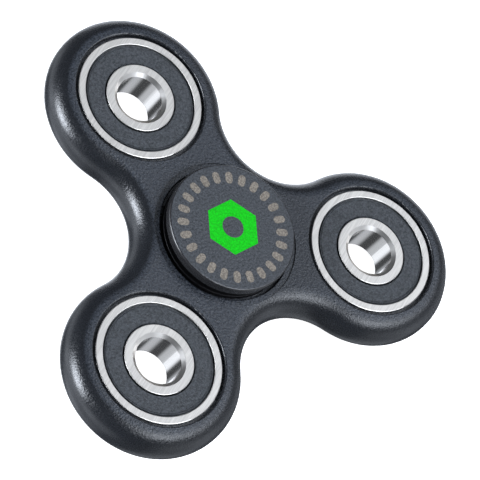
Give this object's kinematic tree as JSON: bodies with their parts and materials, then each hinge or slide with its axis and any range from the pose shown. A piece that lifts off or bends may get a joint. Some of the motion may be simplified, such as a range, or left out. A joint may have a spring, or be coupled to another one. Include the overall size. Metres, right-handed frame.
{
  "type": "fidget spinner",
  "caption": "Three-arm hand spinner: a moulded body turning on a sealed ball bearing between two finger caps, with a weight bearing open in each arm.",
  "frame": {"origin": "on the spin axis, half-way between the two finger caps, at the mid-plane of the body and the bearings", "axes": "+Z is the spin axis, out through the printed upper cap; +Y points along arm 1, and arms 2 and 3 follow at 120 degrees each, anticlockwise from above"},
  "size_m": [0.0772, 0.071, 0.0132],
  "materials": {
    "body_plastic": "fine moulded grain on the faces, satin on the rounded rims",
    "cap_plastic": "fine moulded grain on top, smooth round the side",
    "ring_steel": "ground faces, polished bore",
    "blackened_steel": "black oxide on the centre bearing's outer ring, which shows black under the cap",
    "seal_rubber": "matt moulded rubber",
    "ball_steel": "mirror polish",
    "cage_steel": "pressed sheet steel",
    "print_green": "printed ink over the cap's grain",
    "print_taupe": "printed ink over the cap's grain"
  },
  "bodies": {
    "hub": {"upper_cap": "cap_plastic", "lower_cap": "cap_plastic", "centre_inner_ring": "ring_steel"},
    "rotor": {"spinner_body": "body_plastic", "centre_outer_ring": "blackened_steel", "centre_upper_seal": "seal_rubber", "centre_upper_seal_core": "cage_steel", "centre_lower_seal": "seal_rubber", "centre_lower_seal_core": "cage_steel", "arm_1_outer_ring": "ring_steel", "arm_1_upper_seal": "seal_rubber", "arm_1_upper_seal_core": "cage_steel", "arm_1_lower_seal": "seal_rubber", "arm_1_lower_seal_core": "cage_steel", "arm_2_outer_ring": "ring_steel", "arm_2_upper_seal": "seal_rubber", "arm_2_upper_seal_core": "cage_steel", "arm_2_lower_seal": "seal_rubber", "arm_2_lower_seal_core": "cage_steel", "arm_3_outer_ring": "ring_steel", "arm_3_upper_seal": "seal_rubber", "arm_3_upper_seal_core": "cage_steel", "arm_3_lower_seal": "seal_rubber", "arm_3_lower_seal_core": "cage_steel"},
    "centre_ball_set": {"centre_balls": "ball_steel", "centre_upper_cage": "cage_steel", "centre_lower_cage": "cage_steel", "centre_cage_rivets": "cage_steel"},
    "arm_1_inner": {"arm_1_inner_ring": "ring_steel"},
    "arm_1_ball_set": {"arm_1_balls": "ball_steel", "arm_1_upper_cage": "cage_steel", "arm_1_lower_cage": "cage_steel", "arm_1_cage_rivets": "cage_steel"},
    "arm_2_inner": {"arm_2_inner_ring": "ring_steel"},
    "arm_2_ball_set": {"arm_2_balls": "ball_steel", "arm_2_upper_cage": "cage_steel", "arm_2_lower_cage": "cage_steel", "arm_2_cage_rivets": "cage_steel"},
    "arm_3_inner": {"arm_3_inner_ring": "ring_steel"},
    "arm_3_ball_set": {"arm_3_balls": "ball_steel", "arm_3_upper_cage": "cage_steel", "arm_3_lower_cage": "cage_steel", "arm_3_cage_rivets": "cage_steel"}
  },
  "joints": [
    {"name": "spin", "type": "hinge", "parent": "hub", "child": "rotor", "pos_m": [0, 0, 0], "axis": [0, 0, 1], "continuous": true},
    {"name": "centre_ball_orbit", "type": "hinge", "parent": "hub", "child": "centre_ball_set", "pos_m": [0, 0, 0], "axis": [0, 0, 1], "continuous": true},
    {"name": "arm_1_ring_turn", "type": "hinge", "parent": "rotor", "child": "arm_1_inner", "pos_m": [0, 0.0268, 0], "axis": [0, 0, 1], "continuous": true},
    {"name": "arm_1_ball_orbit", "type": "hinge", "parent": "rotor", "child": "arm_1_ball_set", "pos_m": [0, 0.0268, 0], "axis": [0, 0, 1], "continuous": true},
    {"name": "arm_2_ring_turn", "type": "hinge", "parent": "rotor", "child": "arm_2_inner", "pos_m": [-0.02321, -0.0134, 0], "axis": [0, 0, 1], "continuous": true},
    {"name": "arm_2_ball_orbit", "type": "hinge", "parent": "rotor", "child": "arm_2_ball_set", "pos_m": [-0.02321, -0.0134, 0], "axis": [0, 0, 1], "continuous": true},
    {"name": "arm_3_ring_turn", "type": "hinge", "parent": "rotor", "child": "arm_3_inner", "pos_m": [0.02321, -0.0134, 0], "axis": [0, 0, 1], "continuous": true},
    {"name": "arm_3_ball_orbit", "type": "hinge", "parent": "rotor", "child": "arm_3_ball_set", "pos_m": [0.02321, -0.0134, 0], "axis": [0, 0, 1], "continuous": true}
  ],
  "couplings": [
    {"joint": "centre_ball_orbit", "follows": "spin", "ratio": 0.6323},
    {"joint": "arm_1_ball_orbit", "follows": "arm_1_ring_turn", "ratio": 0.3677},
    {"joint": "arm_2_ball_orbit", "follows": "arm_2_ring_turn", "ratio": 0.3677},
    {"joint": "arm_3_ball_orbit", "follows": "arm_3_ring_turn", "ratio": 0.3677}
  ]
}
